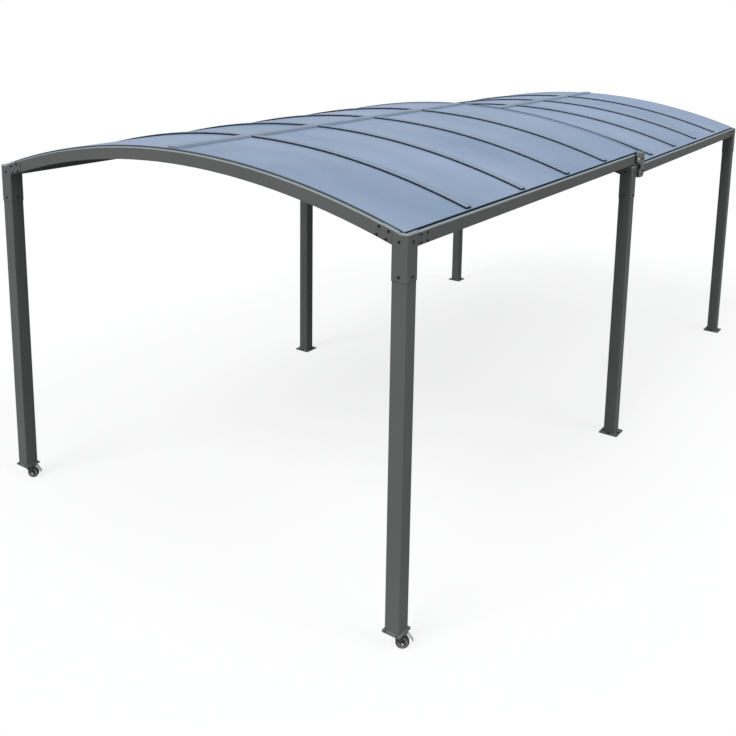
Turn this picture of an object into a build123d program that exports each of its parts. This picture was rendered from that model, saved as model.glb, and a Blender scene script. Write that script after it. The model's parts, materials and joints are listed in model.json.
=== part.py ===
from build123d import *
import math
import os

# Overall sizes, in millimetres
frame_width = 2840  # over the outer faces of the posts
front_length = 3000  # front face to tail of the front roof
rear_length = 2765  # front face to back face of the rear roof
section_overlap = 180  # lap of the front roof over the rear roof
eave_height = 1999  # top of the front section's side beams
roof_drop = 82  # rear section's beams below the front section's beams
roof_rise = 224  # crown of an end arch above its eaves
arch_drop = 12  # ends of an arch below its eaves
bay_count = 5  # roof sheets along one section

# Posts and their feet
post_size = 80
post_wall = 2.5
post_corner = 5
base_plate_size = 132
base_plate_thickness = 6
base_plate_corner = 8
anchor_hole = 12
anchor_hole_count = 4
foot_plate_size = 100
foot_plate_thickness = 8

# Side beams, each with a rain groove that is also the runner of the sliding roof
beam_width = 46
beam_depth = 64
beam_wall = 3
beam_tail_gap = 135  # front beams end this far before the tail of their roof
lip_width = 14
lip_chamfer = 5
groove_width = 14
groove_depth = 22

# Corner brackets
collar_wall = 2.5
collar_clearance = 0.2
collar_height = 215
collar_corner = 7
collar_step = 45  # outer part of the collar's top that stays level with the eaves
flange_length = 102
flange_margin = 4
arch_fold_reach = 130  # folds over the lips, from the outer corner
beam_fold_reach = 95

# Arches, ribs and the ridge
arch_depth = 66
arch_width = 40
arch_lip = 12
arch_groove = 6
arch_groove_depth = 24
lap_arch_depth = 45
lap_arch_width = 30
lap_arch_rise = 4  # above the sheets
rib_width = 40
rib_depth = 30
ridge_bar_width = 40
ridge_bar_depth = 36
ridge_bar_wall = 3

# Roof sheets and their covers
sheet_stand = 9  # top of the sheets above the lips of the end arches
sheet_thickness = 6
sheet_gap = 8  # between neighbouring sheets, under the covers
cover_width = 44
cover_height = 9
cover_end_gap = 8  # the front covers stop this far inside the sheets' edges
cover_clearance = 4  # the rear covers stop this far inside the front beams, which slide past them
ridge_cap_width = 64
ridge_cap_wall = 3
ridge_cap_rise = 11  # top of the cap above the sheets at the crown
seat_gap = 0.2  # under curved faces that lie on each other

# Carriages that carry the front section's tail on the rear beams
carriage_front_reach = 137  # ahead of the roof's tail
carriage_back_reach = 2  # past the roof's tail
carriage_gap = 14  # between the beams' outer faces and the plate
carriage_plate = 6
carriage_lobe = 11  # two lobes above the eaves
carriage_lobe_width = 50
carriage_lobe_slope = 14
carriage_shoulder = 48  # depth of the straight front edge
carriage_waist = 62  # width of the waist
carriage_waist_top = 78
carriage_waist_low = 104
carriage_corner = 14
carriage_clearance = 6  # to the beams
carriage_arm_inset = 1.5  # glide to the groove's walls
carriage_arm_thickness = 12
hook_reach = 88  # hook's nose ahead of the roof's tail
hook_thickness = 7
hook_pad = 6
hook_pad_clearance = 1
hook_tail = 1  # plate's lower edge below the hook
glide_length = 80
glide_clearance = 0.3

# Casters under the front posts
caster_height = 90
caster_heading = 34  # degrees from the gazebo's width towards its back
caster_trail = 30
caster_crown = 22  # radius of the swivel head
caster_crown_depth = 8
swivel_clearance = 0.3
king_pin = 5  # radius
king_pin_head = 9  # radius
king_pin_head_depth = 6
running_clearance = 0.05
wheel_radius = 33
wheel_width = 24
tyre_depth = 8
tyre_round = 5
hub_recess = 4
hub_rim = 4
hub_boss = 9  # radius
hub_clearance = 0.1
fork_gap = 2.5  # beside the wheel
fork_plate = 3
fork_deck = 5
fork_nose = 20  # ahead of the swivel axis
fork_tail = 24  # behind it
fork_eye = 10  # radius of the ear round the axle
axle_radius = 4
axle_head = 7  # radius
axle_head_depth = 4
pedal_width = 24
pedal_thickness = 4
pedal_pin = 3  # radius
pedal_eye = 6  # radius
pedal_side_gap = 1
pedal_pin_back = 40  # pin behind the swivel axis
pedal_pin_drop = 16  # pin below the foot plate
pedal_bend_back = 16  # from the pin to the bend, backwards
pedal_bend_rise = 4  # from the pin to the bend, upwards
pedal_tip_back = 40  # from the pin to the tip, backwards
pedal_tip_fall = 34  # from the pin to the tip, downwards
pedal_slot = 8  # between the two prongs
pedal_slot_share = 0.6  # of the drop from bend to tip

# Cutters run this far past what they cut
overrun = 1

# A chamfer's leg grows by this share of the wall that is folded round it
chamfer_gain_share = 2 - math.sqrt(2)

# Worked-out sizes
half_width = frame_width / 2
rear_eave_height = eave_height - roof_drop
arch_rise = roof_rise + arch_drop
roof_radius = (half_width**2 + arch_rise**2) / (2 * arch_rise)
sheet_top_radius = roof_radius + sheet_stand
sheet_bottom_radius = sheet_top_radius - sheet_thickness
rib_top_radius = sheet_bottom_radius - seat_gap
cover_bottom_radius = sheet_top_radius + seat_gap
lap_arch_radius = sheet_top_radius + lap_arch_rise
collar_reach = collar_clearance + collar_wall
fold_chamfer = lip_chamfer + chamfer_gain_share * collar_reach  # outside of a fold round a lip
post_axis = half_width - post_size / 2
post_top = -groove_depth - collar_wall  # under the collar's cap, from the top of the eaves
beam_face = half_width - beam_width  # inner face of a side beam
sheet_edge = half_width - lip_width - groove_width
total_length = front_length + rear_length - section_overlap
front_reach = (foot_plate_size - post_size) / 2
back_reach = (base_plate_size - post_size) / 2
anchor_circle = (post_size + back_reach) / 2  # radius of the ring of anchor holes
front_face = (front_reach - back_reach - total_length) / 2
middle_face = front_face + front_length - section_overlap
sheet_start = arch_lip + arch_groove
front_bar_span = (arch_width, front_length - lap_arch_width)
rear_bar_span = (arch_width, rear_length - arch_width)
front_sheet_span = (sheet_start, front_length - lap_arch_width)
rear_sheet_span = (sheet_start, rear_length - sheet_start)
sides = {"left": -1, "right": 1}

os.makedirs("parts", exist_ok=True)


def save(node, solids):
    export_step(Compound(children=list(solids)), f"parts/{node}.step")


def block(x_low, x_high, y_low, y_high, z_low, z_high):
    size = Box(x_high - x_low, y_high - y_low, z_high - z_low)
    return Pos((x_low + x_high) / 2, (y_low + y_high) / 2, (z_low + z_high) / 2) * size


def along_y(face, y_low, y_high):
    start = Plane(origin=(0, y_high, 0), x_dir=(1, 0, 0), z_dir=(0, -1, 0))
    return extrude(start * face, y_high - y_low)


# Heights over the roof's width are measured from the top of the eaves
def arc_height(radius, x):
    return roof_rise - roof_radius + math.sqrt(radius**2 - x**2)


def arc_between(radius, x_start, x_end):
    stops = [x_start, (x_start + x_end) / 2, x_end]
    return ThreePointArc(*[(x, arc_height(radius, x)) for x in stops])


def arch_band(outer_radius, inner_radius, x_low, x_high):
    outer = arc_between(outer_radius, x_low, x_high)
    inner = arc_between(inner_radius, x_high, x_low)
    return make_face([outer, Line(outer @ 1, inner @ 0), inner, Line(inner @ 1, outer @ 0)])


def arched_bar(outer_radius, depth, x_low, x_high, y_low, y_high):
    return along_y(arch_band(outer_radius, outer_radius - depth, x_low, x_high), y_low, y_high)


# The outer edge along the front of an arched bar, cut at 45 degrees
def chamfered(bar, size):
    front_edges = bar.edges().filter_by(GeomType.CIRCLE).group_by(Axis.Y)[0]
    return chamfer(front_edges.sort_by(SortBy.RADIUS)[-1], size)


def both_sides(solid):
    return [solid, mirror(solid, about=Plane.YZ)]


def both_ends(solid):
    middle = Plane(origin=(0, rear_length / 2, 0), x_dir=(1, 0, 0), z_dir=(0, 1, 0))
    return [solid, mirror(solid, about=middle)]


# A post is a square tube that stands on its plate and ends under its corner bracket
def post(z_low, z_high):
    inner = post_size - 2 * post_wall
    wall = RectangleRounded(post_size, post_size, post_corner)
    wall -= RectangleRounded(inner, inner, post_corner - post_wall)
    return Pos(0, 0, z_low) * extrude(wall, z_high - z_low)


def base_plate():
    plate = RectangleRounded(base_plate_size, base_plate_size, base_plate_corner)
    plate -= PolarLocations(anchor_circle, anchor_hole_count) * Circle(anchor_hole / 2)
    return extrude(plate, base_plate_thickness)


def foot_plate():
    plate = RectangleRounded(foot_plate_size, foot_plate_size, post_corner)
    plate -= Circle(king_pin + running_clearance)
    return Pos(0, 0, caster_height) * extrude(plate, foot_plate_thickness)


# A corner bracket is a capped collar on the post with a flange along the arch and one along the beam.
# It folds over the chamfered lips of both, round a pocket under the corner of the sheet.
def corner_bracket():
    outer = post_size + 2 * collar_reach
    inner = post_size + 2 * collar_clearance
    x_inner = half_width - post_size - collar_reach
    x_outer = half_width + collar_reach
    x_step = half_width - collar_step
    top_radius = roof_radius + collar_reach
    crown = arc_height(top_radius, x_inner)
    place = Pos(post_axis, post_size / 2, -collar_height)
    collar = place * extrude(RectangleRounded(outer, outer, collar_corner), collar_height + crown)
    collar -= arched_bar(
        top_radius + collar_height,
        collar_height,
        x_inner - overrun,
        x_step,
        -outer,
        2 * outer,
    )
    collar -= block(x_step, x_outer + overrun, -outer, 2 * outer, collar_reach, crown + overrun)
    side_wedge = [
        (x_outer, collar_reach),
        (x_outer - fold_chamfer, collar_reach),
        (x_outer, collar_reach - fold_chamfer),
    ]
    collar -= along_y(make_face(Polyline(*side_wedge, close=True)), -outer, 2 * outer)
    front_wedge = [
        (-collar_reach, collar_reach),
        (fold_chamfer - collar_reach, collar_reach),
        (-collar_reach, collar_reach - fold_chamfer),
    ]
    step_plane = Plane(origin=(x_step, 0, 0), x_dir=(0, 1, 0), z_dir=(1, 0, 0))
    collar -= extrude(step_plane * make_face(Polyline(*front_wedge, close=True)), collar_step + collar_reach)
    edge_bar = arched_bar(
        top_radius,
        2 * fold_chamfer,
        x_inner - overrun,
        x_step,
        -collar_reach,
        2 * fold_chamfer,
    )
    collar -= edge_bar - chamfered(edge_bar, fold_chamfer)
    collar -= block(
        x_inner + collar_wall,
        half_width - lip_width,
        arch_lip,
        post_size + collar_clearance,
        -groove_depth,
        crown + overrun,
    )
    collar -= arched_bar(
        rib_top_radius + collar_height,
        collar_height,
        x_inner - overrun,
        half_width - lip_width,
        arch_lip,
        outer,
    )
    hollow = RectangleRounded(inner, inner, post_corner + collar_clearance)
    collar -= place * extrude(hollow, collar_height + post_top)

    flange_start = post_size + collar_clearance
    flange_end = post_size + collar_reach + flange_length
    beam_flange = block(
        half_width,
        x_outer,
        flange_start,
        flange_end,
        flange_margin - beam_depth,
        -lip_chamfer,
    )
    fold_outline = [
        (half_width, -lip_chamfer),
        (half_width - lip_chamfer, 0),
        (half_width - lip_width, 0),
        (half_width - lip_width, collar_reach),
        (x_outer - fold_chamfer, collar_reach),
        (x_outer, collar_reach - fold_chamfer),
        (x_outer, -lip_chamfer),
    ]
    beam_fold = along_y(make_face(Polyline(*fold_outline, close=True)), flange_start, beam_fold_reach)
    arch_flange = arched_bar(
        roof_radius - lip_chamfer,
        arch_depth - flange_margin - lip_chamfer,
        half_width - flange_end,
        half_width - flange_start,
        -collar_reach,
        0,
    )
    fold_shell = arched_bar(
        top_radius,
        arch_depth / 2,
        half_width - arch_fold_reach,
        half_width - flange_start,
        -collar_reach,
        arch_lip,
    )
    fold_core = arched_bar(
        roof_radius + seat_gap,
        arch_depth,
        half_width - arch_fold_reach - overrun,
        half_width - flange_start + overrun,
        0,
        arch_lip + overrun,
    )
    arch_fold = chamfered(fold_shell, fold_chamfer) - chamfered(fold_core, lip_chamfer)
    return collar + beam_flange + beam_fold + arch_flange + arch_fold


# A side beam is a closed tube with an open groove over it, beside a sloping seat for the sheets
def side_beam(y_low, y_high):
    seat_radius = sheet_bottom_radius - seat_gap
    outline = [
        (half_width - lip_chamfer, 0),
        (half_width, -lip_chamfer),
        (half_width, -beam_depth),
        (beam_face, -beam_depth),
        (beam_face, arc_height(seat_radius, beam_face)),
        (sheet_edge, arc_height(seat_radius, sheet_edge)),
        (sheet_edge, -groove_depth),
        (half_width - lip_width, -groove_depth),
        (half_width - lip_width, 0),
    ]
    profile = make_face(Polyline(*outline, close=True))
    chamber_width = beam_width - 2 * beam_wall
    chamber_depth = beam_depth - groove_depth - 2 * beam_wall
    chamber_middle = -(beam_depth + groove_depth) / 2
    profile -= Pos(half_width - beam_width / 2, chamber_middle) * Rectangle(chamber_width, chamber_depth)
    return along_y(profile, y_low, y_high)


# An end arch has a lip along its outer edge, a groove and a ledge that the sheets lie on
def end_arch():
    reach = half_width - post_size - collar_reach
    arch = chamfered(arched_bar(roof_radius, arch_depth, -reach, reach, 0, arch_lip), lip_chamfer)
    arch += arched_bar(
        roof_radius - arch_groove_depth,
        arch_depth - arch_groove_depth,
        -reach,
        reach,
        arch_lip,
        sheet_start,
    )
    ledge_depth = arch_depth + rib_top_radius - roof_radius
    return arch + arched_bar(rib_top_radius, ledge_depth, -reach, reach, sheet_start, arch_width)


def lap_arch():
    start = front_length - lap_arch_width
    return arched_bar(lap_arch_radius, lap_arch_depth, -half_width, half_width, start, front_length)


def rib_lines(length):
    return [bay * length / bay_count for bay in range(1, bay_count)]


def ribs(length):
    halves = []
    for y in rib_lines(length):
        half = arched_bar(
            rib_top_radius,
            rib_depth,
            ridge_bar_width / 2,
            beam_face,
            y - rib_width / 2,
            y + rib_width / 2,
        )
        halves += both_sides(half)
    return halves


def rib_covers(length, x_end):
    halves = []
    for y in rib_lines(length):
        half = arched_bar(
            cover_bottom_radius + cover_height,
            cover_height,
            ridge_cap_width / 2 + seat_gap,
            x_end,
            y - cover_width / 2,
            y + cover_width / 2,
        )
        halves += both_sides(half)
    return halves


def ridge_bar(span):
    top = arc_height(rib_top_radius, ridge_bar_width / 2)
    profile = Rectangle(ridge_bar_width, ridge_bar_depth)
    profile -= Rectangle(ridge_bar_width - 2 * ridge_bar_wall, ridge_bar_depth - 2 * ridge_bar_wall)
    return along_y(Pos(0, top - ridge_bar_depth / 2) * profile, *span)


# The ridge cap straddles the joint between the sheets and stands on their edges
def ridge_cap(span):
    edge = ridge_cap_width / 2
    top = arc_height(sheet_top_radius, 0) + ridge_cap_rise
    foot = arc_height(cover_bottom_radius, edge - ridge_cap_wall)
    cap = block(-edge, edge, *span, top - ridge_cap_wall, top)
    for skirt in both_sides(block(edge - ridge_cap_wall, edge, *span, foot, top)):
        cap += skirt
    return cap


def right_sheets(length, span):
    lines = rib_lines(length)
    stops = [span[0]] + lines + [span[1]]
    sheets = []
    for start, end in zip(stops, stops[1:]):
        y_low = start + sheet_gap / 2 if start in lines else start
        y_high = end - sheet_gap / 2 if end in lines else end
        sheet = arched_bar(
            sheet_top_radius,
            sheet_thickness,
            sheet_gap / 2,
            sheet_edge,
            y_low,
            y_high,
        )
        sheets.append(sheet)
    return sheets


# A carriage hangs from the end of the lap arch and hooks round the rear beam from outside
def carriage():
    y_low = front_length - carriage_front_reach
    y_high = front_length + carriage_back_reach
    y_nose = front_length - hook_reach
    y_waist = y_high - carriage_waist
    plate_face = half_width + carriage_gap
    arm_low = carriage_clearance - roof_drop
    arm_high = arm_low + carriage_arm_thickness
    hook_top = -roof_drop - beam_depth - hook_pad_clearance - hook_pad
    hook_low = hook_top - hook_thickness
    foot_low = hook_low - hook_tail
    outline = [
        (y_low, 0),
        (y_low, -carriage_shoulder),
        (y_waist, -carriage_waist_top),
        (y_waist, -carriage_waist_low),
        (y_nose, -carriage_waist_low),
        (y_nose, foot_low + carriage_corner),
        (y_nose + carriage_corner, foot_low),
        (y_high - carriage_corner, foot_low),
        (y_high, foot_low + carriage_corner),
        (y_high, 0),
        (y_high - carriage_lobe_slope, carriage_lobe),
        (y_high - carriage_lobe_width, carriage_lobe),
        (y_high - carriage_lobe_width - carriage_lobe_slope, 0),
        (y_low + carriage_lobe_width, 0),
        (y_low + carriage_lobe_width - carriage_lobe_slope, carriage_lobe),
        (y_low + carriage_lobe_slope, carriage_lobe),
    ]
    face = Plane(origin=(plate_face, 0, 0), x_dir=(0, 1, 0), z_dir=(1, 0, 0))
    bracket = extrude(face * make_face(Polyline(*outline, close=True)), carriage_plate)
    hanger_low = arc_height(lap_arch_radius - lap_arch_depth, half_width)
    hanger_start = front_length - beam_tail_gap + carriage_clearance
    bracket += block(half_width, plate_face, hanger_start, front_length, hanger_low, 0)
    glide_face = half_width - lip_width - carriage_arm_inset
    glide_back = sheet_edge + carriage_arm_inset
    bracket += block(glide_back, plate_face, y_waist, y_high, arm_low, arm_high)
    bracket += block(glide_back, plate_face, y_nose, y_high, hook_low, hook_top)
    glide_low = glide_clearance - roof_drop - groove_depth
    glide = block(glide_back, glide_face, y_high - glide_length, y_high, glide_low, arm_low)
    pad = block(glide_back, half_width, y_nose, y_high, hook_top, hook_top + hook_pad)
    return bracket, [glide, pad]


# Caster pieces are made with the swivel axis on Z and the wheel trailing along X
def hull_of(*outlines):
    return make_hull([edge for outline in outlines for edge in outline.edges()])


def caster_fork():
    top = caster_height - swivel_clearance
    deck_top = top - caster_crown_depth
    deck_low = deck_top - fork_deck
    inner = wheel_width / 2 + fork_gap
    outer = inner + fork_plate
    fork = block(-fork_nose, fork_tail, -outer, outer, deck_low, deck_top)
    fork += Pos(0, 0, deck_top) * extrude(Circle(caster_crown), caster_crown_depth)
    pin_top = caster_height + foot_plate_thickness + swivel_clearance
    fork += Pos(0, 0, top) * extrude(Circle(king_pin), pin_top - top)
    fork += Pos(0, 0, pin_top) * extrude(Circle(king_pin_head), king_pin_head_depth)
    deck_middle = (deck_low + deck_top) / 2
    root = Pos((fork_tail - fork_nose) / 2, deck_middle) * Rectangle(fork_nose + fork_tail, fork_deck)
    axle_place = Pos(caster_trail, wheel_radius)
    leg = hull_of(root, axle_place * Circle(fork_eye))
    pin_place = Pos(pedal_pin_back, caster_height - pedal_pin_drop)
    ear_root = Pos(fork_tail - fork_deck / 2, deck_middle) * Rectangle(fork_deck, fork_deck)
    ear = hull_of(ear_root, pin_place * Circle(pedal_eye))
    ear_face = pedal_width / 2 + pedal_side_gap
    for side in sides.values():
        fork += along_y(leg, *sorted([side * inner, side * outer]))
        fork += along_y(ear, *sorted([side * ear_face, side * outer]))
        head = sorted([side * outer, side * (outer + axle_head_depth)])
        fork += along_y(axle_place * Circle(axle_head), *head)
    fork += along_y(axle_place * Circle(axle_radius), -outer, outer)
    fork += along_y(pin_place * Circle(pedal_pin), -outer, outer)
    return fork


def wheel_tyre():
    ring = Circle(wheel_radius) - Circle(wheel_radius - tyre_depth)
    tyre = along_y(ring, -wheel_width / 2, wheel_width / 2)
    tread_edges = tyre.edges().filter_by(GeomType.CIRCLE).sort_by(SortBy.RADIUS)[-2:]
    return fillet(tread_edges, tyre_round)


def wheel_hub():
    half = wheel_width / 2
    radius = wheel_radius - tyre_depth - hub_clearance
    hub = along_y(Circle(radius), -half, half)
    dish = Circle(radius - hub_rim) - Circle(hub_boss)
    hub -= along_y(dish, half - hub_recess, half)
    hub -= along_y(dish, -half, hub_recess - half)
    return hub - along_y(Circle(axle_radius + running_clearance), -half, half)


def caster_wheel_place():
    return Pos(caster_trail, 0, wheel_radius)


# The brake pedal turns on its pin and forks into two prongs at its tip
def brake_pedal():
    bend = Pos(pedal_bend_back, pedal_bend_rise) * Circle(pedal_thickness / 2)
    tip = Pos(pedal_tip_back, -pedal_tip_fall) * Circle(pedal_thickness / 2)
    arm = hull_of(Circle(pedal_thickness / 2), bend)
    plate = Circle(pedal_eye) + arm + hull_of(bend, tip)
    plate -= Circle(pedal_pin + running_clearance)
    pedal = along_y(plate, -pedal_width / 2, pedal_width / 2)
    slot_top = pedal_slot_share * (pedal_bend_rise + pedal_tip_fall) - pedal_tip_fall
    slot_low = -pedal_tip_fall - pedal_thickness
    slot_back = pedal_tip_back + pedal_thickness
    pedal -= block(pedal_bend_back, slot_back, -pedal_slot / 2, pedal_slot / 2, slot_low, slot_top)
    return Pos(pedal_pin_back, 0, caster_height - pedal_pin_drop) * pedal


# Rear section, fixed to the ground
rear_place = Pos(0, middle_face, rear_eave_height)
rear_post = post(base_plate_thickness, rear_eave_height + post_top)
rear_feet = {
    "middle": middle_face + post_size / 2,
    "back": middle_face + rear_length - post_size / 2,
}
rear_plates = []
for end, y in rear_feet.items():
    for side, sign in sides.items():
        save(f"{end}_{side}_post", [Pos(sign * post_axis, y) * rear_post])
        rear_plates.append(Pos(sign * post_axis, y) * base_plate())
save("base_plates", rear_plates)

rear_brackets = [corner for end in both_ends(corner_bracket()) for corner in both_sides(end)]
save("rear_corner_brackets", [rear_place * bracket for bracket in rear_brackets])
beam_inset = post_size + collar_reach
rear_beam = rear_place * side_beam(beam_inset, rear_length - beam_inset)
for side, beam in zip(reversed(sides), both_sides(rear_beam)):
    save(f"rear_{side}_beam", [beam])
for name, arch in zip(["middle", "back"], both_ends(end_arch())):
    save(f"{name}_arch", [rear_place * arch])
save("rear_ribs", [rear_place * rib for rib in ribs(rear_length)])
rear_covers = rib_covers(rear_length, beam_face - cover_clearance)
save("rear_rib_covers", [rear_place * cover for cover in rear_covers])
save("rear_ridge_bar", [rear_place * ridge_bar(rear_bar_span)])
save("rear_ridge_cap", [rear_place * ridge_cap(rear_sheet_span)])
rear_halves = right_sheets(rear_length, rear_sheet_span)
rear_sheets = [both_sides(rear_place * sheet) for sheet in rear_halves]
for side, sheets in zip(reversed(sides), zip(*rear_sheets)):
    save(f"rear_{side}_sheets", sheets)

# Front section, which slides back over the rear one
front_place = Pos(0, front_face, eave_height)
front_foot = front_face + post_size / 2
front_post = post(caster_height + foot_plate_thickness, eave_height + post_top)
for side, sign in sides.items():
    save(f"front_{side}_post", [Pos(sign * post_axis, front_foot) * front_post])
foot_plates = [Pos(sign * post_axis, front_foot) * foot_plate() for sign in sides.values()]
save("front_foot_plates", foot_plates)
save("front_corner_brackets", [front_place * bracket for bracket in both_sides(corner_bracket())])
front_beam = front_place * side_beam(beam_inset, front_length - beam_tail_gap)
for side, beam in zip(reversed(sides), both_sides(front_beam)):
    save(f"front_{side}_beam", [beam])
save("front_arch", [front_place * end_arch()])
save("lap_arch", [front_place * lap_arch()])
save("front_ribs", [front_place * rib for rib in ribs(front_length)])
front_covers = rib_covers(front_length, sheet_edge - cover_end_gap)
save("front_rib_covers", [front_place * cover for cover in front_covers])
save("front_ridge_bar", [front_place * ridge_bar(front_bar_span)])
save("front_ridge_cap", [front_place * ridge_cap(front_sheet_span)])
front_halves = right_sheets(front_length, front_sheet_span)
front_sheets = [both_sides(front_place * sheet) for sheet in front_halves]
for side, sheets in zip(reversed(sides), zip(*front_sheets)):
    save(f"front_{side}_sheets", sheets)
bracket, glides = carriage()
for side, hook in zip(reversed(sides), both_sides(front_place * bracket)):
    save(f"{side}_carriage", [hook])
save("carriage_glides", [pad for glide in glides for pad in both_sides(front_place * glide)])

# Casters, each under its front post
for side, sign in sides.items():
    place = Pos(sign * post_axis, front_foot) * Rot(0, 0, caster_heading)
    wheel_place = place * caster_wheel_place()
    save(f"{side}_caster_fork", [place * caster_fork()])
    save(f"{side}_caster_tyre", [wheel_place * wheel_tyre()])
    save(f"{side}_caster_hub", [wheel_place * wheel_hub()])
    save(f"{side}_brake_pedal", [place * brake_pedal()])
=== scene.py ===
import json
import math

import bmesh
import bpy
from mathutils import Matrix, Vector


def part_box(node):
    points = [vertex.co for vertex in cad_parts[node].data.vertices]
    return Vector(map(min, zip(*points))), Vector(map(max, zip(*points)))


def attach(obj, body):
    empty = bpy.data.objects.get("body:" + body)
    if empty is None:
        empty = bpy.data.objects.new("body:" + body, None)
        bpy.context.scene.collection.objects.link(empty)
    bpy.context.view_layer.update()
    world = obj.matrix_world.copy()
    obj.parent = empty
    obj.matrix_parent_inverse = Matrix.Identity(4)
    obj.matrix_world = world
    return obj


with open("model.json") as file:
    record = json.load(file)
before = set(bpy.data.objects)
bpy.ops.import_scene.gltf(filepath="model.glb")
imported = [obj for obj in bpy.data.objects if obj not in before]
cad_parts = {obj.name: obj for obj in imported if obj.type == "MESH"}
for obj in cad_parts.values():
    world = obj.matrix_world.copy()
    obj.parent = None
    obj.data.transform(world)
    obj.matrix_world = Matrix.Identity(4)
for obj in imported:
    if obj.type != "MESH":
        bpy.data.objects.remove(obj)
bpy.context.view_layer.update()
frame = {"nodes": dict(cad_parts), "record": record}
nodes = frame["nodes"]
print("frame loaded:", len(nodes), "nodes")


# Places read from the frame
postLow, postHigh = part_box("front_right_post")
postSize = postHigh.x - postLow.x
halfWidth = postHigh.x
frontFace = postLow.y
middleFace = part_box("middle_right_post")[0].y
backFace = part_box("back_right_post")[1].y
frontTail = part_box("lap_arch")[1].y
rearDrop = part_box("front_corner_brackets")[0].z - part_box("rear_corner_brackets")[0].z

# The roof's arcs, and the lips of the beams and arches
roof = {
    "archRise": 0.236,       # lip of an end arch, from its ends to its crown
    "archDrop": 0.012,       # those ends below the eaves
    "sheetStand": 0.009,     # sheets above that lip
    "sheetEdge": 0.028,      # sheets inside the beams' outer faces
    "sheetStart": 0.018,     # and inside the arches' outer faces
    "lapWidth": 0.030,
    "bracketWall": 0.0027,
}
roofRadius = (halfWidth ** 2 + roof["archRise"] ** 2) / (2 * roof["archRise"])
sheetTop = roofRadius + roof["sheetStand"]
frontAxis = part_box("front_right_sheets")[1].z - sheetTop   # height of the roof's centre line
rearAxis = frontAxis - rearDrop
frontEave = frontAxis + math.sqrt(roofRadius ** 2 - halfWidth ** 2) + roof["archDrop"]
rearEave = frontEave - rearDrop


# Camera at the photograph's viewing angle
cameraSet = {
    "place": (3.4562, -3.27685, 2.9414),   # y from the front face
    "yaw": 0.6007,
    "pitch": 0.1858,
    "roll": 0.0147,
    "sensor": 36,            # width of film that the lens is given for
    "lens": 45.786,
    "shiftY": -0.25,
    "farEnd": 200,
}


def addCamera(s):
    data = bpy.data.cameras.new("camera")
    cam = bpy.data.objects.new("camera", data)
    bpy.context.scene.collection.objects.link(cam)
    data.sensor_width = s["sensor"]
    data.lens = s["lens"]
    data.shift_y = s["shiftY"]
    data.clip_end = s["farEnd"]
    ahead = Vector((
        -math.sin(s["yaw"]) * math.cos(s["pitch"]),
        math.cos(s["yaw"]) * math.cos(s["pitch"]),
        -math.sin(s["pitch"]),
    ))
    turn = Matrix.Rotation(s["roll"], 3, "Z").to_quaternion()
    cam.location = Vector(s["place"]) + Vector((0, frontFace, 0))
    cam.rotation_mode = "QUATERNION"
    cam.rotation_quaternion = ahead.to_track_quat("-Z", "Y") @ turn
    bpy.context.scene.camera = cam


addCamera(cameraSet)
print("camera set")


# Soft studio light, a white background and a pale floor
lightSet = {
    "skyLevel": 0.42,
    "skyColour": (0.94, 0.97, 1.0),
    "suns": {                # strength, spread and turn in degrees
        "key": (1.7, 30, (40, 0, -6)),
        "fill": (0.7, 25, (35, 0, 90)),
    },
    "floorSize": 160,
    "floorShade": 0.12,      # what the floor throws back
    "floorPale": 0.8,        # what the camera sees of it
    "floorWhite": 0.75,
    "floorGlow": 1.08,
}


def addLight(s):
    world = bpy.data.worlds.new("studio")
    bpy.context.scene.world = world
    world.use_nodes = True
    tree = world.node_tree
    tree.nodes.clear()
    out = tree.nodes.new("ShaderNodeOutputWorld")
    mix = tree.nodes.new("ShaderNodeMixShader")
    sky = tree.nodes.new("ShaderNodeBackground")
    sky.inputs["Color"].default_value = (*s["skyColour"], 1)
    sky.inputs["Strength"].default_value = s["skyLevel"]
    white = tree.nodes.new("ShaderNodeBackground")
    white.inputs["Color"].default_value = (1, 1, 1, 1)
    tree.links.new(seenRays(tree), mix.inputs["Fac"])
    tree.links.new(sky.outputs[0], mix.inputs[1])
    tree.links.new(white.outputs[0], mix.inputs[2])
    tree.links.new(mix.outputs[0], out.inputs["Surface"])

    for name, (level, angle, turn) in s["suns"].items():
        sun = bpy.data.objects.new(name, bpy.data.lights.new(name, "SUN"))
        sun.data.energy = level
        sun.data.angle = math.radians(angle)
        sun.rotation_euler = [math.radians(a) for a in turn]
        bpy.context.scene.collection.objects.link(sun)


# Camera, glossy and transmission rays see the white background
def seenRays(tree):
    ray = tree.nodes.new("ShaderNodeLightPath")
    total = ray.outputs["Is Camera Ray"]
    for kind in ("Is Glossy Ray", "Is Transmission Ray"):
        both = tree.nodes.new("ShaderNodeMath")
        both.operation = "MAXIMUM"
        tree.links.new(total, both.inputs[0])
        tree.links.new(ray.outputs[kind], both.inputs[1])
        total = both.outputs[0]
    return total


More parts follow.
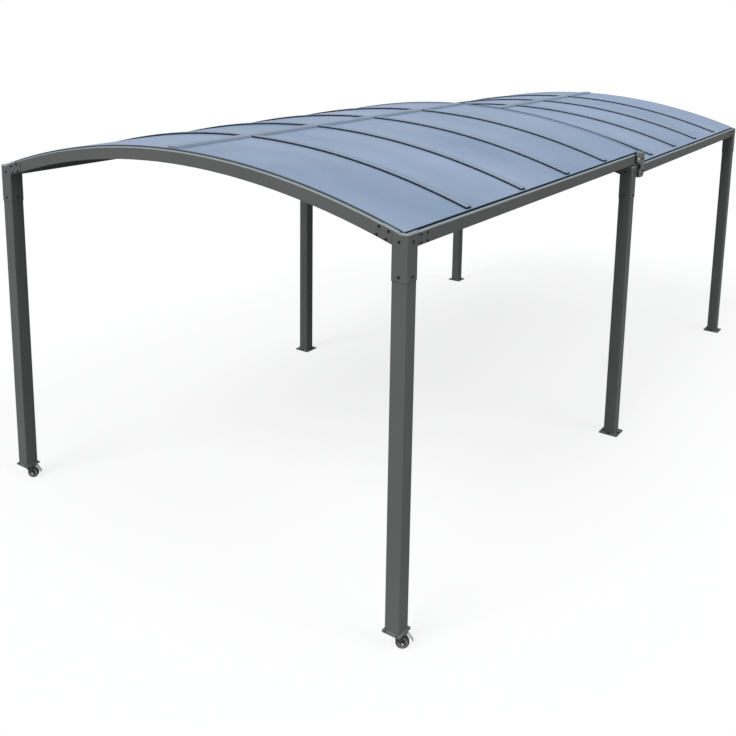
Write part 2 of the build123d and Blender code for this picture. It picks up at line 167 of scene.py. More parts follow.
def addFloor(s):
    bm = bmesh.new()
    bmesh.ops.create_grid(bm, x_segments=1, y_segments=1, size=s["floorSize"] / 2)
    mesh = bpy.data.meshes.new("floor")
    bm.to_mesh(mesh)
    bm.free()
    floor = bpy.data.objects.new("floor", mesh)
    bpy.context.scene.collection.objects.link(floor)
    mat = bpy.data.materials.new("paleFloor")
    mat.use_nodes = True
    tree = mat.node_tree
    tree.nodes.clear()
    out = tree.nodes.new("ShaderNodeOutputMaterial")
    shade = tree.nodes.new("ShaderNodeBsdfDiffuse")
    shade.inputs["Color"].default_value = (s["floorShade"], s["floorShade"], s["floorShade"], 1)
    pale = tree.nodes.new("ShaderNodeBsdfDiffuse")
    pale.inputs["Color"].default_value = (s["floorPale"], s["floorPale"], s["floorPale"], 1)
    glow = tree.nodes.new("ShaderNodeEmission")
    glow.inputs["Strength"].default_value = s["floorGlow"]
    white = tree.nodes.new("ShaderNodeMixShader")
    white.inputs["Fac"].default_value = s["floorWhite"]
    tree.links.new(pale.outputs[0], white.inputs[1])
    tree.links.new(glow.outputs[0], white.inputs[2])
    mix = tree.nodes.new("ShaderNodeMixShader")
    tree.links.new(seenRays(tree), mix.inputs["Fac"])
    tree.links.new(shade.outputs[0], mix.inputs[1])
    tree.links.new(white.outputs[0], mix.inputs[2])
    tree.links.new(mix.outputs[0], out.inputs["Surface"])
    mesh.materials.append(mat)


addLight(lightSet)
addFloor(lightSet)
bpy.context.scene.view_settings.view_transform = "Standard"
print("light and floor set")


# Materials; most of a noise lies between these two levels
noiseLow, noiseHigh = 0.3, 0.7


# With a coat, roughness is the coat's, and the skin's own is linked afterwards
def newMaterial(name, roughness, metallic=0.0, coat=0.0):
    mat = bpy.data.materials.new(name)
    mat.use_nodes = True
    skin = mat.node_tree.nodes["Principled BSDF"]
    skin.inputs["Roughness"].default_value = roughness
    skin.inputs["Metallic"].default_value = metallic
    if coat:
        skin.inputs["Specular IOR Level"].default_value = 0.0
        skin.inputs["Coat Weight"].default_value = coat
        skin.inputs["Coat Roughness"].default_value = roughness
    return mat, mat.node_tree, skin


def noise(tree, scale, detail, stretch=(1, 1, 1)):
    place = tree.nodes.new("ShaderNodeTexCoord")
    turn = tree.nodes.new("ShaderNodeMapping")
    turn.inputs["Scale"].default_value = stretch
    grain = tree.nodes.new("ShaderNodeTexNoise")
    grain.inputs["Scale"].default_value = scale
    grain.inputs["Detail"].default_value = detail
    tree.links.new(place.outputs["Object"], turn.inputs["Vector"])
    tree.links.new(turn.outputs["Vector"], grain.inputs["Vector"])
    return grain.outputs["Fac"]


def ramp(tree, value, dark, light):
    band = tree.nodes.new("ShaderNodeValToRGB")
    band.color_ramp.elements[0].position = noiseLow
    band.color_ramp.elements[0].color = (*dark, 1)
    band.color_ramp.elements[1].position = noiseHigh
    band.color_ramp.elements[1].color = (*light, 1)
    tree.links.new(value, band.inputs["Fac"])
    return band.outputs["Color"]


def spread(tree, value, low, high):
    fit = tree.nodes.new("ShaderNodeMapRange")
    fit.inputs["From Min"].default_value = noiseLow
    fit.inputs["From Max"].default_value = noiseHigh
    fit.inputs["To Min"].default_value = low
    fit.inputs["To Max"].default_value = high
    tree.links.new(value, fit.inputs["Value"])
    return fit.outputs["Result"]


def bump(tree, skin, height, strength, distance):
    relief = tree.nodes.new("ShaderNodeBump")
    relief.inputs["Strength"].default_value = strength
    relief.inputs["Distance"].default_value = distance
    tree.links.new(height, relief.inputs["Height"])
    tree.links.new(relief.outputs["Normal"], skin.inputs["Normal"])


def blend(tree, value, low, high, under, over):
    part = tree.nodes.new("ShaderNodeMapRange")
    part.inputs["From Min"].default_value = low
    part.inputs["From Max"].default_value = high
    tree.links.new(value, part.inputs["Value"])
    mix = tree.nodes.new("ShaderNodeMix")
    mix.data_type = "RGBA"
    tree.links.new(part.outputs["Result"], mix.inputs["Factor"])
    tree.links.new(under, mix.inputs["A"])
    mix.inputs["B"].default_value = (*over, 1)
    return mix.outputs["Result"]


# How far a face looks along a direction, such as upwards where a pale sky reflection is painted
def looking(tree, way):
    place = tree.nodes.new("ShaderNodeTexCoord")
    share = tree.nodes.new("ShaderNodeVectorMath")
    share.operation = "DOT_PRODUCT"
    share.inputs[1].default_value = way
    tree.links.new(place.outputs["Normal"], share.inputs[0])
    return share.outputs["Value"]


# Noises are scale, detail and stretch; bumps are strength and depth in metres
powderSet = {
    "coatRoughness": 0.4,
    "cloud": (2.2, 5),
    "grainDetail": 2,
    "paintedSheen": (0.3, 0.75),     # how far a face looks its way where the painted sky reflection begins, and where it covers all
    "bump": (0.12, 0.0006),
}


def powderCoat(
    name, dark, light, coat, grainScale=900, roughness=(0.42, 0.55), paintedSheen=None, sheenWay=(0, 0, 1)
):
    s = powderSet
    mat, tree, skin = newMaterial(name, s["coatRoughness"], coat=coat)
    grain = noise(tree, grainScale, s["grainDetail"])
    tone = ramp(tree, noise(tree, *s["cloud"]), dark, light)
    # Faces that look the given way are blended to a paler colour: a painted sky reflection
    if paintedSheen:
        tone = blend(tree, looking(tree, sheenWay), *s["paintedSheen"], tone, paintedSheen)
    tree.links.new(tone, skin.inputs["Base Color"])
    tree.links.new(spread(tree, grain, *roughness), skin.inputs["Roughness"])
    bump(tree, skin, grain, *s["bump"])
    return mat


sheetSet = {
    "coatRoughness": 0.12,
    "roughness": (0.25, 0.4),
    "cloud": (0.9, 4, (1, 1.6, 1)),
    "smear": (2.6, 5, (1, 0.7, 1)),
    "smudge": (0.6, 0.95),   # levels of the smear where smudges begin, and where they cover all
    "bump": (0.06, 0.004),
}


def tintedSheet(name, dark, light, smudge, coat):
    s = sheetSet
    mat, tree, skin = newMaterial(name, s["coatRoughness"], coat=coat)
    cloud = noise(tree, *s["cloud"])
    smear = noise(tree, *s["smear"])
    tone = blend(tree, smear, *s["smudge"], ramp(tree, cloud, dark, light), smudge)
    tree.links.new(tone, skin.inputs["Base Color"])
    tree.links.new(spread(tree, smear, *s["roughness"]), skin.inputs["Roughness"])
    bump(tree, skin, cloud, *s["bump"])
    return mat


plasticSet = {
    "cloud": (60, 3),
    "grain": (1500, 2),
    "smoother": 0.06,        # roughness below and above what the piece is given
    "rougher": 0.08,
    "bump": (0.15, 0.0004),
}


def mouldedPlastic(name, dark, light, roughness):
    s = plasticSet
    mat, tree, skin = newMaterial(name, roughness)
    grain = noise(tree, *s["grain"])
    worn = spread(tree, grain, roughness - s["smoother"], roughness + s["rougher"])
    tree.links.new(ramp(tree, noise(tree, *s["cloud"]), dark, light), skin.inputs["Base Color"])
    tree.links.new(worn, skin.inputs["Roughness"])
    bump(tree, skin, grain, *s["bump"])
    return mat


rubberSet = {
    "coat": 0.08,
    "coatRoughness": 0.6,
    "roughness": (0.55, 0.75),
    "cloud": (25, 4),
    "grain": (700, 2, (1, 0.1, 1)),
    "bump": (0.1, 0.0004),
}


def sealRubber(name, dark, light):
    s = rubberSet
    mat, tree, skin = newMaterial(name, s["coatRoughness"], coat=s["coat"])
    grain = noise(tree, *s["grain"])
    tree.links.new(ramp(tree, noise(tree, *s["cloud"]), dark, light), skin.inputs["Base Color"])
    tree.links.new(spread(tree, grain, *s["roughness"]), skin.inputs["Roughness"])
    bump(tree, skin, grain, *s["bump"])
    return mat


steelSet = {
    "metallic": 0.85,
    "cloud": (45, 4),
    "brush": (300, 3, (1, 1, 8)),
    "smoother": 0.08,        # roughness below and above what the piece is given
    "rougher": 0.1,
}


def platedSteel(name, dark, light, roughness):
    s = steelSet
    mat, tree, skin = newMaterial(name, roughness, s["metallic"])
    brush = noise(tree, *s["brush"])
    worn = spread(tree, brush, roughness - s["smoother"], roughness + s["rougher"])
    tree.links.new(ramp(tree, noise(tree, *s["cloud"]), dark, light), skin.inputs["Base Color"])
    tree.links.new(worn, skin.inputs["Roughness"])
    return mat


# One finish for each slot of the record, from a dark and a light tone
finishes = {
    # The frame paint is dark; its tops are blended pale as a painted sky reflection
    "frame_paint": powderCoat(
        "framePaintAndSheen", (0.156, 0.165, 0.160), (0.176, 0.186, 0.180), 0.2, paintedSheen=(0.32, 0.375, 0.395)
    ),
    "roof_sheet": tintedSheet(
        "roofSheet", (0.235, 0.32, 0.455), (0.335, 0.415, 0.57), (0.24, 0.31, 0.375), 0.16
    ),
    "roof_trim": powderCoat(
        "roofTrim", (0.265, 0.332, 0.42), (0.295, 0.365, 0.46), 0.2, 700, (0.35, 0.45)
    ),
    "bracket_metal": powderCoat(
        "bracketMetal", (0.19, 0.21, 0.19), (0.23, 0.25, 0.23), 0.3, 600, (0.4, 0.5)
    ),
    "caster_steel": platedSteel("casterSteel", (0.03, 0.03, 0.03), (0.06, 0.06, 0.06), 0.38),
    "pedal_metal": mouldedPlastic("pedalMetal", (0.60, 0.60, 0.61), (0.70, 0.70, 0.71), 0.35),
    "hub_plastic": mouldedPlastic("hubPlastic", (0.11, 0.11, 0.11), (0.15, 0.15, 0.15), 0.35),
    "tyre_rubber": mouldedPlastic("tyreRubber", (0.016, 0.016, 0.017), (0.026, 0.026, 0.027), 0.6),
    "nylon": mouldedPlastic("nylon", (0.70, 0.70, 0.67), (0.78, 0.78, 0.75), 0.5),
    "fastener_black": powderCoat(
        "fastenerBlack", (0.012, 0.012, 0.013), (0.022, 0.022, 0.024), 0.35, 1200
    ),
    "seal_rubber": sealRubber("sealRubber", (0.022, 0.032, 0.046), (0.034, 0.047, 0.064)),
}

# Finishes of single pieces; the lap arch is dark frame paint with a painted sheet-blue reflection where
# it looks up or to the front
feetPaint = powderCoat("feetPaint", (0.15, 0.16, 0.158), (0.185, 0.195, 0.195), 0.2)
zincPlate = platedSteel("zincPlate", (0.45, 0.45, 0.44), (0.55, 0.55, 0.53), 0.3)
# A lighter rubber on the slim arch strips, partly standing for the shade of the groove beside the
# sheets
archRubberAndShade = sealRubber("archRubberAndShade", (0.10, 0.118, 0.14), (0.13, 0.15, 0.175))
# Lighter copies of the roof trim's paint for the beads: painted highlights
beadHighlightPaint = powderCoat("beadHighlightPaint", (0.295, 0.36, 0.43), (0.325, 0.39, 0.46), 0.2, 700)
ridgeHighlightPaint = powderCoat("ridgeHighlightPaint", (0.39, 0.48, 0.55), (0.42, 0.51, 0.58), 0.2, 700)
# Pale paint on the hubs' rings and ribs: painted highlights on a dark hub
hubHighlightPale = mouldedPlastic("hubHighlightPale", (0.42, 0.42, 0.42), (0.52, 0.52, 0.51), 0.4)
lapPaintAndSheen = powderCoat(
    "lapPaintAndSheen", (0.156, 0.165, 0.160), (0.176, 0.186, 0.180), 0.2, paintedSheen=(0.275, 0.35, 0.48),
    sheenWay=(0, -0.75, 0.75),
)
nodeFinishes = {"base_plates": feetPaint, "front_foot_plates": feetPaint, "lap_arch": lapPaintAndSheen}

for row in frame["record"]["subparts"]:
    mesh = nodes[row["node"]].data
    mesh.materials.clear()
    mesh.materials.append(nodeFinishes.get(row["node"], finishes[row["material_slot"]]))
print("finishes on every CAD node")


# Small helpers for the pieces
def finishPiece(name, bm, body, slot, smooth=False, finish=None):
    bmesh.ops.recalc_face_normals(bm, faces=bm.faces[:])
    for face in bm.faces:
        face.smooth = smooth
    mesh = bpy.data.meshes.new(name)
    bm.to_mesh(mesh)
    bm.free()
    piece = bpy.data.objects.new(name, mesh)
    bpy.context.scene.collection.objects.link(piece)
    mesh.materials.append(finish or finishes[slot])
    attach(piece, body)


def addBar(bm, low, high, rounding=0.0):
    low, high = Vector(low), Vector(high)
    place = Matrix.Translation((low + high) / 2) @ Matrix.Diagonal((*(high - low), 1))
    made = bmesh.ops.create_cube(bm, size=1, matrix=place)["verts"]
    if rounding:
        edges = list({edge for vert in made for edge in vert.link_edges})
        roundOff(bm, edges, rounding)


def roundOff(bm, edges, size, segments=2):
    bmesh.ops.bevel(
        bm, geom=edges, offset=size, segments=segments, profile=0.5, affect="EDGES", material=-1
    )


# A bar that follows the roof: y and radius give its section, x its two ends
def addArc(bm, axis, yRange, rRange, xRange, steps):
    yLow, yHigh = yRange
    rLow, rHigh = rRange
    start, end = [math.asin(x / rHigh) for x in xRange]
    section = Matrix((
        (0, 0, 1, 0),
        (yHigh - yLow, 0, 0, (yLow + yHigh) / 2),
        (0, rHigh - rLow, 0, (rLow + rHigh) / 2),
        (0, 0, 0, 1),
    ))
    place = Matrix.Translation((0, 0, axis)) @ Matrix.Rotation(start, 4, "Y") @ section
    before = set(bm.faces)
    bmesh.ops.create_grid(bm, x_segments=1, y_segments=1, size=0.5, matrix=place)
    face = [f for f in bm.faces if f not in before]
    geom = face + list(face[0].edges) + list(face[0].verts)
    bmesh.ops.spin(
        bm, geom=geom, cent=(0, 0, axis), axis=(0, 1, 0), angle=end - start, steps=steps,
        use_merge=False, use_duplicate=False,
    )


def stamp(bm, mesh, places):
    for place in places:
        start = len(bm.verts)
        bm.from_mesh(mesh)
        bm.verts.ensure_lookup_table()
        bmesh.ops.transform(bm, matrix=place, verts=bm.verts[start:])


def facing(point, way):
    return Matrix.Translation(point) @ Vector(way).to_track_quat("Z", "Y").to_matrix().to_4x4()


# Black bolts with a socket, on the collars and flanges of the six corner brackets
boltSet = {
    "sides": 10,
    "radius": 0.0072,
    "crown": 0.0054,         # radius of the flat top
    "height": 0.0052,
    "rounding": 0.0013,      # of the top's edge
    "socket": 0.0026,        # rim left round the socket
    "socketTaper": 0.0002,
    "socketDepth": 0.0024,
    "archColumns": (0.092, 0.142),   # from the outer corner, along the arch's lip
    "archRows": (0.016, 0.056),      # below that lip
    "beamColumns": (0.103, 0.158),   # from the outer corner, along the beam
    "beamRows": (0.015, 0.053),      # below the eaves
    "collarPlace": 0.042,            # from the outer corner, on the collar's four sides
    "collarRows": (0.036, 0.192),    # below the eaves
}


def boltHead(s):
    bm = bmesh.new()
    lift = Matrix.Translation((0, 0, s["height"] / 2))
    bmesh.ops.create_cone(
        bm, cap_ends=True, segments=s["sides"], radius1=s["radius"], radius2=s["crown"],
        depth=s["height"], matrix=lift,
    )
    top = max(bm.faces, key=lambda f: f.calc_center_median().z)
    roundOff(bm, list(top.edges), s["rounding"], 1)
    top = max(bm.faces, key=lambda f: f.calc_center_median().z)
    bmesh.ops.inset_region(bm, faces=[top], thickness=s["socket"])
    bmesh.ops.inset_region(bm, faces=[top], thickness=s["socketTaper"], depth=-s["socketDepth"])
    mesh = bpy.data.meshes.new("boltHead")
    bm.to_mesh(mesh)
    bm.free()
    return mesh


# side is -1 or 1, way is 1 where the bracket faces the front and -1 where it faces the back
def bracketBolts(s, side, face, way, eave, axis):
    wall = roof["bracketWall"]
    inner = postSize + wall
    across = Vector((side, 0, 0))
    ahead = Vector((0, -way, 0))
    places = []
    for along in s["archColumns"]:
        turn = math.asin((halfWidth - along) / roofRadius)
        for down in s["archRows"]:
            r = roofRadius - down
            point = (side * r * math.sin(turn), face - way * wall, axis + r * math.cos(turn))
            places.append(facing(point, ahead))
    for along in s["beamColumns"]:
        for down in s["beamRows"]:
            places.append(facing((side * (halfWidth + wall), face + way * along, eave - down), across))
    x = side * (halfWidth - s["collarPlace"])
    y = face + way * s["collarPlace"]
    for down in s["collarRows"]:
        places.append(facing((x, face - way * wall, eave - down), ahead))
        places.append(facing((side * (halfWidth + wall), y, eave - down), across))
    low = eave - s["collarRows"][1]
    places.append(facing((side * (halfWidth - inner), y, low), -across))
    places.append(facing((x, face + way * inner, low), -ahead))
    return places


def addBrackets(s):
    head = boltHead(s)
    corners = {
        "front_section": [(frontFace, 1, frontEave, frontAxis)],
        "rear_section": [(middleFace, 1, rearEave, rearAxis), (backFace, -1, rearEave, rearAxis)],
    }
    for body, ends in corners.items():
        bm = bmesh.new()
        for end in ends:
            for side in (-1, 1):
                stamp(bm, head, bracketBolts(s, side, *end))
        finishPiece(body + "_bracket_bolts", bm, body, "fastener_black")


addBrackets(boltSet)
print("bracket bolts set")


# Rubber under the rib covers, reaching past their sides towards the front as a dark line of painted
# shade, and a bead along their far edges painted lighter as a highlight
coverSealShadeSet = {
    "ribWidth": 0.040,
    "capGap": 0.0005,        # clear of the ridge cap
    "reach": 0.0048,         # past the cover's front side, as a painted shade line
    "inset": 0.001,          # inside its far side
    "endReach": 0.003,       # past its lower end
    "low": 0.0002,           # above the sheets
    "high": 0.0088,
    "coverTop": 0.0092,
    "beadWidth": 0.005,
    "beadHeight": 0.001,
    "beadSink": 0.001,       # into the cover
    "steps": 28,
    "count": 4,
}


def addCoverSealsAndShade(s):
    for body, axis in (("front_section", frontAxis), ("rear_section", rearAxis)):
        part = body.split("_")[0]
        low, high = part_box(part + "_rib_covers")
        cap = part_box(part + "_ridge_cap")[1].x + s["capGap"]
        seals = bmesh.new()
        beads = bmesh.new()
        width = coverWidth(part, s["ribWidth"])
        pitch = (high.y - low.y - width) / (s["count"] - 1)
        top = sheetTop + s["coverTop"]
        sealHeights = (sheetTop + s["low"], sheetTop + s["high"])
        beadHeights = (top - s["beadSink"], top + s["beadHeight"])
        for i in range(s["count"]):
            front = low.y + i * pitch
            back = front + width
            sealSides = (front - s["reach"], back - s["inset"])
            beadSides = (back - s["beadWidth"], back)
            for side in (-1, 1):
                sealEnds = (side * cap, side * (high.x + s["endReach"]))
                beadEnds = (side * cap, side * high.x)
                # The seals reach past the covers' front sides only: a dark strip standing for the
                # covers' shaded near faces and the gap beside them
                addArc(seals, axis, sealSides, sealHeights, sealEnds, s["steps"])
                addArc(beads, axis, beadSides, beadHeights, beadEnds, s["steps"])
        finishPiece(part + "_cover_seals_and_shade", seals, body, "seal_rubber", True)
        finishPiece(part + "_cover_beads", beads, body, "roof_trim", True, beadHighlightPaint)


# The covers lie on the ribs' middle lines, so the two rows differ in length by their widths alone
def coverWidth(part, ribWidth):
    low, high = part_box(part + "_rib_covers")
    ribLow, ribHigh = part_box(part + "_ribs")
    return ribWidth + (high.y - low.y) - (ribHigh.y - ribLow.y)


addCoverSealsAndShade(coverSealShadeSet)
print("cover seals set")


# Rubber edging on the sheets: upright strips along the beams that reach down into the grooves as
# painted shade, slim ones along the end arches that also stand for the grooves' shade, a dark lip on
# the lap arch that is painted shade of the gap behind it, and a raised strip along the back arch
edgingSet = {
    "proud": 0.001,          # past the sheets' edges, clear of the carriages' arms
    "wrap": 0.003,           # inside the sheets' edges
    "stripTop": 0.0028,      # below the sheets' top
    "depth": 0.012,          # into the beams' grooves, darkening them as painted shade
    "cornerDepth": 0.003,    # over the brackets' pockets
    "rounding": 0.0006,
    "archHigh": 0.0024,      # slim strips' top and foot, below the sheets' top
    "archLow": 0.0062,
    "shadeLipRise": 0.004,        # top of the lap arch above the sheets
    "shadeLipHeight": 0.0045,
    "shadeLipWidth": 0.006,
    "backHigh": 0.0025,      # above the sheets' top
    "backWidth": 0.010,
    "steps": 40,
    "endGap": 0.002,         # to the lap arch
}


def addEdging(s):
    edge = halfWidth - roof["sheetEdge"]
    frontStop = frontTail - roof["lapWidth"] - s["endGap"]
    rearStop = backFace - postSize - roof["bracketWall"]
    runs = {
        "front": (frontAxis, frontEave, [(frontFace, 1)], frontStop),
        "rear": (rearAxis, rearEave, [(middleFace, 1), (backFace, -1)], rearStop),
    }
    for part, (axis, eave, ends, yStop) in runs.items():
        body = part + "_section"
        strips = bmesh.new()
        slim = bmesh.new()
        for side in (-1, 1):
            addStrips(strips, s, side, axis, eave, ends, yStop)
            for face, way in ends:
                line = face + way * roof["sheetStart"]
                yRange = sorted((line - way * s["proud"], line + way * s["wrap"]))
                rRange = (sheetTop - s["archLow"], sheetTop - s["archHigh"])
                addArc(slim, axis, yRange, rRange, (0, side * edge), s["steps"])
        finishPiece(part + "_sheet_edging", strips, body, "seal_rubber")
        finishPiece(part + "_arch_edging", slim, body, "seal_rubber", finish=archRubberAndShade)
    addShadeLipAndBackStrip(s, edge)


def addStrips(bm, s, side, axis, eave, ends, yStop):
    edge = halfWidth - roof["sheetEdge"]
    top = axis + math.sqrt(sheetTop ** 2 - edge ** 2) - s["stripTop"]
    xRange = sorted((side * (edge - s["wrap"]), side * (edge + s["proud"])))
    collar = postSize + roof["bracketWall"]
    low = (xRange[0], ends[0][0] + collar, eave - s["depth"])
    addBar(bm, low, (xRange[1], yStop, top), s["rounding"])
    for face, way in ends:
        yRange = sorted((face + way * roof["sheetStart"], face + way * collar))
        low = (xRange[0], yRange[0], eave - s["cornerDepth"])
        addBar(bm, low, (xRange[1], yRange[1], top), s["rounding"])


def addShadeLipAndBackStrip(s, edge):
    shadeLip = bmesh.new()
    back = bmesh.new()
    shadeLipRange = (frontTail - s["shadeLipWidth"], frontTail - s["proud"])
    shadeLipLow = sheetTop + s["shadeLipRise"] - s["proud"]
    backLine = backFace - roof["sheetStart"]
    shadeLipHeights = (shadeLipLow, shadeLipLow + s["shadeLipHeight"])
    backRange = (backLine - s["backWidth"], backLine + s["proud"])
    backHeights = (sheetTop - s["archLow"], sheetTop + s["backHigh"])
    for side in (-1, 1):
        addArc(shadeLip, frontAxis, shadeLipRange, shadeLipHeights, (0, side * edge), s["steps"])
        addArc(back, rearAxis, backRange, backHeights, (0, side * edge), s["steps"])
    # The lap arch's lip is a dark strip laid where the lower rear sheets lie in shade behind the arch:
    # painted shade
    finishPiece("lap_arch_shade_lip", shadeLip, "front_section", "seal_rubber", True)
    finishPiece("back_arch_strip", back, "rear_section", "roof_trim", True)


addEdging(edgingSet)
print("sheet edging set")


# Beads along both sides of the ridge caps, painted lighter than the caps as a highlight, and plates
# that close their ends
ridgeSet = {
    "wall": 0.003,
    "beadWidth": 0.005,
    "drop": 0.004,           # bead's top below the cap's
    "foot": 0.0004,          # above the cap's lower edge
    "rounding": 0.0012,
}


def addRidges(s):
    for part in ("front", "rear"):
        low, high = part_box(part + "_ridge_cap")
        plates = bmesh.new()
        beads = bmesh.new()
        bottom = low.z + s["foot"]
        for y in (low.y, high.y - s["wall"]):
            addBar(
                plates,
                (low.x + s["wall"], y, bottom),
                (high.x - s["wall"], y + s["wall"], high.z - s["wall"]),
            )
        for side in (-1, 1):
            xRange = sorted((side * high.x, side * (high.x + s["beadWidth"])))
            top = (xRange[1], high.y, high.z - s["drop"])
            addBar(beads, (xRange[0], low.y, bottom), top, s["rounding"])
        finishPiece(part + "_ridge_ends", plates, part + "_section", "roof_trim")
        finishPiece(part + "_ridge_beads", beads, part + "_section", "roof_trim", finish=ridgeHighlightPaint)


addRidges(ridgeSet)
print("ridge beads and ends set")


# Dark plugs in the tail ends of the front beams, reaching out to the carriages' plates as painted shade
# of the gap, and bolts through the carriages whose zinc and grey finishes paint a highlight and a shade
tailSet = {
    "beamWidth": 0.046,
    "margin": 0.001,
    "depth": 0.0045,
    "outside": 0.0135,       # past the beam's outer face, up to the carriage's plate, filling the gap as painted shade
    "rounding": 0.001,
    # One bolt is zinc as a painted highlight, the lowest takes the bracket's grey to look dim as
    # painted shade, and the rest are black
    "bolts": {               # before the roof's tail, below the eaves
        "zinc": ((0.124, 0.029),),
        "grey": ((0.062, 0.132),),
        "black": ((0.038, 0.036), (0.030, 0.118)),
    },
    "boltScale": 1.15,
}


def addTails(s):
    plugs = bmesh.new()
    bolts = {kind: bmesh.new() for kind in s["bolts"]}
    head = boltHead(boltSet)
    beamLow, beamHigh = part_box("front_right_beam")
    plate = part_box("right_carriage")[1].x
    for side in (-1, 1):
        inner = halfWidth - s["beamWidth"] + s["margin"]
        xRange = sorted((side * inner, side * (halfWidth + s["outside"])))
        addBar(
            plugs,
            (xRange[0], beamHigh.y, beamLow.z + s["margin"]),
            (xRange[1], beamHigh.y + s["depth"], frontEave - s["margin"]),
            s["rounding"],
        )
        for kind, spots in s["bolts"].items():
            for before, down in spots:
                place = facing((side * plate, frontTail - before, frontEave - down), (side, 0, 0))
                stamp(bolts[kind], head, [place @ Matrix.Scale(s["boltScale"], 4)])
    finishPiece("beam_tail_plugs", plugs, "front_section", "seal_rubber")
    finishPiece("carriage_zinc_bolts", bolts["zinc"], "front_section", "caster_steel", finish=zincPlate)
    finishPiece("carriage_grey_bolts", bolts["grey"], "front_section", "bracket_metal")
    finishPiece("carriage_black_bolts", bolts["black"], "front_section", "fastener_black")


addTails(tailSet)
print("beam tails and carriages set")


# Weld fillets round the feet of the posts, bolts in the foot plates, and black bolt heads in the anchor
# holes that stand for the shade inside the holes
feetSet = {
    "leg": 0.0025,           # of the fillet
    "corner": 0.006,
    "inside": 0.002,         # fillet's hidden part inside the post's wall
    "boltScale": 0.6,
    "boltOut": 0.045,        # from the post's axis, towards the front and the back
    "boltAcross": 0.031,
    "anchorShadeScale": 1.3,
}


def weldFillet(s):
    bm = bmesh.new()
    half = postSize / 2
    wide, slim = half + s["leg"], half - s["inside"]
    height = s["leg"] + s["inside"]
    diagonal = math.sqrt(2)  # half a side to a corner
    place = Matrix.Translation((0, 0, height / 2)) @ Matrix.Rotation(math.pi / 4, 4, "Z")
    bmesh.ops.create_cone(
        bm, cap_ends=False, segments=4, radius1=wide * diagonal, radius2=slim * diagonal,
        depth=height, matrix=place,
    )
    upright = [e for e in bm.edges if abs(e.verts[0].co.z - e.verts[1].co.z) > s["leg"] / 2]
    roundOff(bm, upright, s["corner"], 3)
    mesh = bpy.data.meshes.new("weldFillet")
    bm.to_mesh(mesh)
    bm.free()
    return mesh


def postPlaces(names, z):
    places = []
    for name in names:
        low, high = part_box(name)
        places.append(Matrix.Translation(((low.x + high.x) / 2, (low.y + high.y) / 2, z)))
    return places


def addFeet(s):
    fillet = weldFillet(s)
    head = boltHead(boltSet)
    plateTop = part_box("front_foot_plates")[1].z
    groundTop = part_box("base_plates")[1].z
    frontPosts = postPlaces(("front_left_post", "front_right_post"), plateTop)
    rearNames = [end + "_" + side + "_post" for end in ("middle", "back") for side in ("left", "right")]
    rearPosts = postPlaces(rearNames, groundTop)
    for body, places in (("front_section", frontPosts), ("rear_section", rearPosts)):
        bm = bmesh.new()
        stamp(bm, fillet, places)
        finishPiece(body + "_foot_welds", bm, body, "frame_paint", True, feetPaint)
    bolts = bmesh.new()
    for place in frontPosts:
        for x in (-1, 1):
            for y in (-1, 1):
                spot = Matrix.Translation((x * s["boltAcross"], y * s["boltOut"], 0))
                stamp(bolts, head, [place @ spot @ Matrix.Scale(s["boltScale"], 4)])
    finishPiece("foot_plate_bolts", bolts, "front_section", "fastener_black")
    addAnchorShadeBolts(s, head, groundTop)


# Black heads in the anchor holes: painted shade where the holes look dark
def addAnchorShadeBolts(s, head, plateTop):
    bm = bmesh.new()
    for mount in frame["record"]["mounts"]:
        if mount["kind"] != "bolt_pattern":
            continue
        dims = mount["dims"]
        centre = Matrix.Translation(Vector(mount["pos_m"]) + Vector((0, 0, plateTop)))
        reach = Matrix.Translation((dims["pcd_mm"] / 2000, 0, 0))   # half the circle, in metres
        for i in range(dims["count"]):
            turn = Matrix.Rotation(2 * math.pi * i / dims["count"], 4, "Z")
            stamp(bm, head, [centre @ turn @ reach @ Matrix.Scale(s["anchorShadeScale"], 4)])
    finishPiece("anchor_shade_bolts", bm, "rear_section", "fastener_black")


addFeet(feetSet)
print("feet set")


# Casters: zinc nuts on the axles, and rings on the hubs and ribs in their dished faces painted pale as
# highlights
casterSet = {
    "nutOut": 0.0215,        # from the wheel's middle to the outside of the axle's head
    "nutRadius": 0.0062,
    "nutDepth": 0.0042,
    "nutRounding": 0.00084,
    "ribCount": 5,
    "ribIn": 0.0095,         # from the axle
    "ribOut": 0.0205,
    "ribWidth": 0.0042,
    "ribLow": 0.0085,        # from the wheel's middle
    "ribHigh": 0.0112,
    "ribRounding": 0.0008,
    "ringIn": 0.0211,
    "ringOut": 0.0246,
    "ringLow": 0.0112,
    "ringHigh": 0.0127,
    "ringSteps": 28,
}


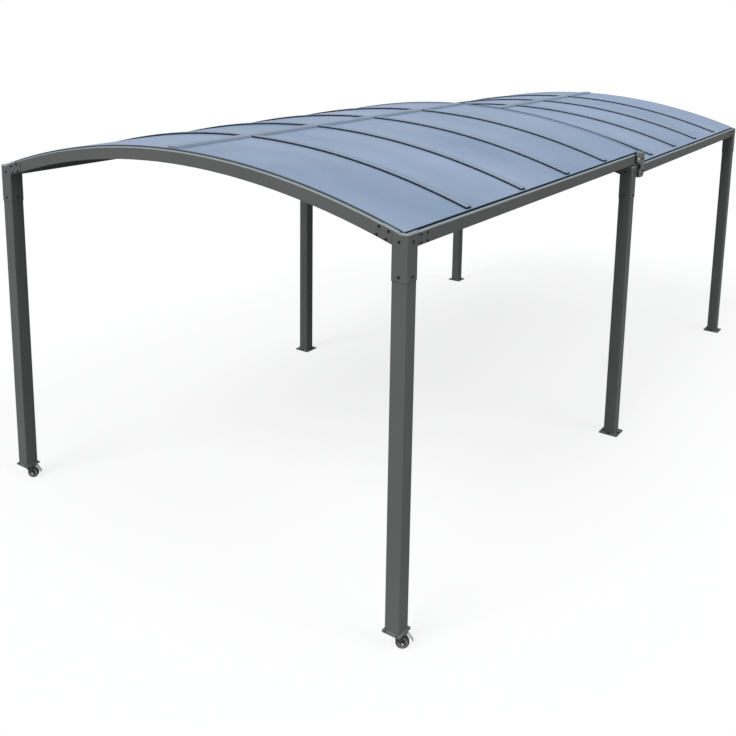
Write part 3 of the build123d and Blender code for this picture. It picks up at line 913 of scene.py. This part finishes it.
def addCasters(s):
    joints = {joint["name"]: joint for joint in frame["record"]["behaviour"]["joints"]}
    for side in ("left", "right"):
        spin = joints[side + "_wheel_spin"]
        nuts = bmesh.new()
        ribs = bmesh.new()
        for way in (-1, 1):
            axle = Vector(spin["axis"]) * way
            place = facing(spin["pos_m"], axle)
            addNut(nuts, s, place @ Matrix.Translation((0, 0, s["nutOut"])))
            addRing(ribs, s, place)
            for i in range(s["ribCount"]):
                turn = place @ Matrix.Rotation(2 * math.pi * i / s["ribCount"], 4, "Z")
                addRib(ribs, s, turn)
        finishPiece(side + "_axle_nuts", nuts, side + "_caster", "caster_steel", finish=zincPlate)
        finishPiece(side + "_hub_ribs", ribs, side + "_wheel", "hub_plastic", finish=hubHighlightPale)


def addNut(bm, s, place):
    before = set(bm.faces)
    bmesh.ops.create_cone(
        bm, cap_ends=True, segments=6, radius1=s["nutRadius"], radius2=s["nutRadius"],
        depth=s["nutDepth"], matrix=place @ Matrix.Translation((0, 0, s["nutDepth"] / 2)),
    )
    outer = place @ Vector((0, 0, s["nutDepth"]))
    made = [f for f in bm.faces if f not in before]
    lid = min(made, key=lambda f: (f.calc_center_median() - outer).length)
    roundOff(bm, list(lid.edges), s["nutRounding"], 1)


def addRing(bm, s, place):
    before = set(bm.verts)
    middle = Vector(((s["ringIn"] + s["ringOut"]) / 2, 0, (s["ringLow"] + s["ringHigh"]) / 2))
    section = Matrix.Translation(middle) @ Matrix.Rotation(math.pi / 2, 4, "X")
    shape = Matrix.Diagonal((s["ringOut"] - s["ringIn"], s["ringHigh"] - s["ringLow"], 1, 1))
    bmesh.ops.create_grid(bm, x_segments=1, y_segments=1, size=0.5, matrix=section @ shape)
    made = [v for v in bm.verts if v not in before]
    face = made[0].link_faces[0]
    edges = list(face.edges)
    bmesh.ops.delete(bm, geom=[face], context="FACES_ONLY")
    bmesh.ops.spin(
        bm, geom=made + edges, cent=(0, 0, 0), axis=(0, 0, 1), angle=2 * math.pi, steps=s["ringSteps"],
        use_merge=True, use_duplicate=False,
    )
    bmesh.ops.transform(bm, matrix=place, verts=[v for v in bm.verts if v not in before])


def addRib(bm, s, place):
    before = set(bm.verts)
    half = s["ribWidth"] / 2
    addBar(bm, (s["ribIn"], -half, s["ribLow"]), (s["ribOut"], half, s["ribHigh"]), s["ribRounding"])
    bmesh.ops.transform(bm, matrix=place, verts=[v for v in bm.verts if v not in before])


addCasters(casterSet)
print("casters set")
